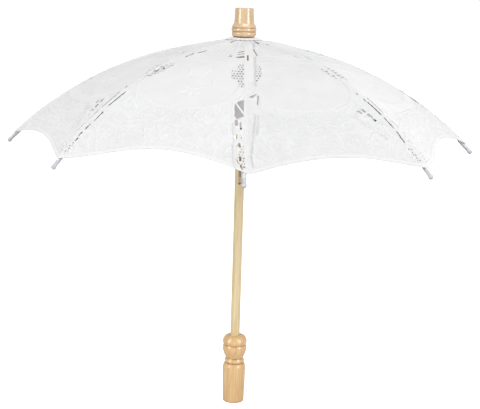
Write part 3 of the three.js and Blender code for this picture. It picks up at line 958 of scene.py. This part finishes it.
def round_wires(runs, radius, sides=8):
    """Round tubes along lines in space, with closed ends."""
    points, faces, count = [], [], 0
    turns = np.arange(sides) * 2 * pi / sides
    for run in runs:
        ahead = np.gradient(run, axis=0)
        ahead /= np.linalg.norm(ahead, axis=1)[:, None]
        guide = np.cross(ahead, np.roll(ahead, 1, 0) + [0.013, 0.017, 0.011])
        side = np.zeros_like(run)
        side[0] = guide[0] / np.linalg.norm(guide[0])
        for i in range(1, len(run)):
            carried = side[i - 1] - ahead[i] * (side[i - 1] @ ahead[i])
            side[i] = carried / np.linalg.norm(carried)
        up = np.cross(ahead, side)
        ring = (run[:, None] + radius * (np.cos(turns)[None, :, None] * side[:, None]
                                         + np.sin(turns)[None, :, None] * up[:, None]))
        index = count + np.arange(len(run) * sides).reshape(len(run), sides)
        nxt = np.roll(index, -1, 1)
        faces.append(np.stack([index[:-1], nxt[:-1], nxt[1:], index[1:]], -1).reshape(-1, 4))
        for end, flip in ((index[0], -1), (index[-1], 1)):
            fan = end[::flip]
            faces.append(np.stack([np.full(sides // 2 - 1, fan[0]), fan[1:-2:2], fan[2:-1:2],
                                   fan[3::2]], -1))
        points.append(ring.reshape(-1, 3))
        count += len(run) * sides
    return np.vstack(points), np.vstack(faces)


def build_stretcher_end(k):
    """The lower end of a stretcher: a wire that runs down its strip and loops round the ring, at
    a radius of 1 mm."""
    low = np.array([EYE_R, RUNNER_EYE_Z])
    along = np.array([RIVET_R, RIVET_Z]) - low
    along /= np.linalg.norm(along)
    across = np.array([-along[1], along[0]])
    turn = np.radians(np.linspace(20, 340, 17))
    loop = low - (np.cos(turn)[:, None] * -along + np.sin(turn)[:, None] * across)
    start = low + along * 6.5 + across * 0.35
    finish = low + along * 6.5 - across * 0.35
    line = np.vstack([finish, low + along * 2.2 - across * 0.5, loop,
                      low + along * 2.2 + across * 0.5, start])
    line = smooth_line(line, 3)
    run = about_z(in_rib_plane(line[:, 0], line[:, 1]), k * TURN)
    points, faces = round_wires([run], 0.5)
    made = make_object(f"stretcher_eye_{k}", points, [faces], MATERIALS["dark_steel"])
    finish_piece(made, f"stretcher_{k}", "dark_steel")


def paint_nodes():
    """Materials for the CAD nodes that stay, each by the slot that the record gives it."""
    slots = {
        "shaft": "pale_wood", "crown": "tan_wood", "crown_wire": "bright_steel",
        "crown_pin": "bright_steel", "runner": "grey_plastic", "runner_wire": "bright_steel",
        "catch_spring": "bright_steel",
    }
    for k in range(RIBS):
        slots[f"rib_{k}"] = "dark_steel"
        slots[f"stretcher_{k}"] = "dark_steel"
        slots[f"rivet_{k}"] = "bright_steel"
    for name, slot in slots.items():
        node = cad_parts[name]
        node.data.materials.clear()
        node.data.materials.append(MATERIALS[slot])
        soften(node.data, 35)


# ---- Floor, light and camera ----


def paper():
    """White paper, which gives the object less light than it shows, so that the underside of
    the canopy stays in its own shade."""
    p = Paint("floor_paper")
    path = p.add("ShaderNodeLightPath").outputs["Is Camera Ray"]
    grain = p.range(p.noise(3.0), 0.3, 0.7, 1.0, 1.02)
    p.set(
        Base_Color=(0.5, 0.5, 0.5, 1), Roughness=0.9, Specular_IOR_Level=0.0,
        Emission_Color=(1, 1, 1, 1),
        Emission_Strength=p.math("MULTIPLY_ADD", path, grain, FLOOR_GLOW),
    )
    return p.material


def build_floor():
    """A wide sheet of paper just under the handle's foot."""
    span, height = 9000, -0.4
    corners = np.array([(x * span, y * span, height) for x, y in ((-1, -1), (1, -1), (1, 1), (-1, 1))])
    make_object("floor", corners, [np.array([[0, 1, 2, 3]])], paper())


def build_world():
    """A white surround, which lights the object less than it shows."""
    world = bpy.data.worlds.new("studio")
    world.use_nodes = True
    tree = world.node_tree
    background = tree.nodes["Background"]
    background.inputs["Color"].default_value = (1, 1, 1, 1)
    path = tree.nodes.new("ShaderNodeLightPath")
    strength = tree.nodes.new("ShaderNodeMix")
    strength.inputs[2].default_value = WORLD_LIGHT
    strength.inputs[3].default_value = WORLD_SEEN
    tree.links.new(path.outputs["Is Camera Ray"], strength.inputs[0])
    tree.links.new(strength.outputs[0], background.inputs["Strength"])
    bpy.context.scene.world = world
    bpy.context.scene.view_settings.view_transform = "Standard"


def add_softbox(name, azimuth, elevation, distance, width, height, power):
    """A rectangular light that faces the canopy. Azimuth 0 is on the camera's side."""
    lamp = bpy.data.lights.new(name, "AREA")
    lamp.shape = "RECTANGLE"
    lamp.size, lamp.size_y = width, height
    lamp.energy = power
    light = bpy.data.objects.new(name, lamp)
    a, e = radians(azimuth), radians(elevation)
    away = Vector((sin(a) * cos(e), -cos(a) * cos(e), sin(e)))
    light.location = Vector((0, 0, LIT_HEIGHT)) + away * distance
    light.rotation_euler = away.to_track_quat("Z", "Y").to_euler()
    bpy.context.scene.collection.objects.link(light)


def build_camera():
    """The main view: from just above the finial's height, tilted down and rolled slightly."""
    heading, pitch, roll = radians(0.996), radians(10.893), radians(1.70)
    ahead = Vector((sin(heading) * cos(pitch), cos(heading) * cos(pitch), -sin(pitch)))
    level = Vector((cos(heading), -sin(heading), 0))
    up = level.cross(ahead)
    right = level * cos(roll) + up * sin(roll)
    top = up * cos(roll) - level * sin(roll)
    data = bpy.data.cameras.new("camera")
    data.lens = 87.07
    data.sensor_width = 36
    data.clip_start, data.clip_end = 0.05, 60
    place = Matrix.Translation((-0.01865, -1.1422, 0.42567))
    camera = bpy.data.objects.new("camera", data)
    turn = Matrix((right, top, -ahead)).transposed().to_4x4()
    camera.matrix_world = place @ turn
    bpy.context.scene.collection.objects.link(camera)
    bpy.context.scene.camera = camera


build_camera()
build_world()
build_floor()
add_softbox("softbox_left", -56, 14, 1.5, 0.5, 1.3, 13)
add_softbox("softbox_right", 50, 14, 1.5, 0.45, 1.3, 13)
add_softbox("softbox_top", 32, 70, 1.7, 1.2, 0.9, 12)

paint_nodes()
build_handle()
build_finial()
build_canopy()
build_cap()
for rib in range(RIBS):
    build_tip(rib)
    build_ties(rib)
    build_stretcher_end(rib)
